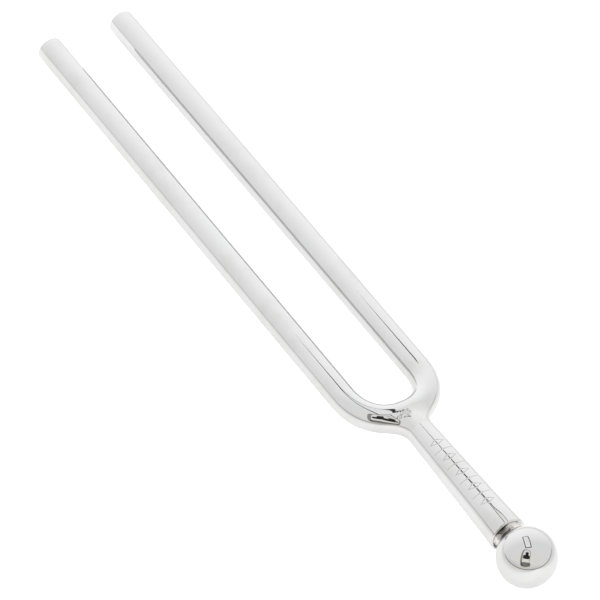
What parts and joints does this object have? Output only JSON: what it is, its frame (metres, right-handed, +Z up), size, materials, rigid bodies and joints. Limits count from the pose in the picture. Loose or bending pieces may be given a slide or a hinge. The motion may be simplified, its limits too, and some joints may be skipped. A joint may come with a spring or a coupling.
{
  "type": "tuning fork",
  "caption": "Steel tuning fork with round parallel tines bent from one rod, a tapered stem brazed to the bow, and a ball foot.",
  "frame": {"origin": "on the surface that the fork lies on, under the middle of its bounding box", "axes": "+Z up; +X along the fork from the tine tips to the ball; Y across the two tines. The fork lies on the ball and both tine tips, so its own axis dips 1.09 degrees towards the tips."},
  "size_m": [0.1538, 0.02, 0.0106],
  "materials": {
    "polished_rod": "bright nickel plate over ground steel rod",
    "polished_braze": "hand-dressed joint under bright nickel plate",
    "polished_stem": "bright nickel plate over turned steel",
    "pin_steel": "bare steel, slightly browned",
    "neck_braze": "hard solder left bare, pale, with black scorch marks from the flux",
    "polished_ball": "mirror polished bright nickel plate"
  },
  "bodies": {
    "root": {"tine_rod": "polished_rod", "braze_fillet": "polished_braze", "stem": "polished_stem", "neck_pin": "pin_steel", "ball_braze": "neck_braze", "ball_foot": "polished_ball"}
  },
  "joints": []
}
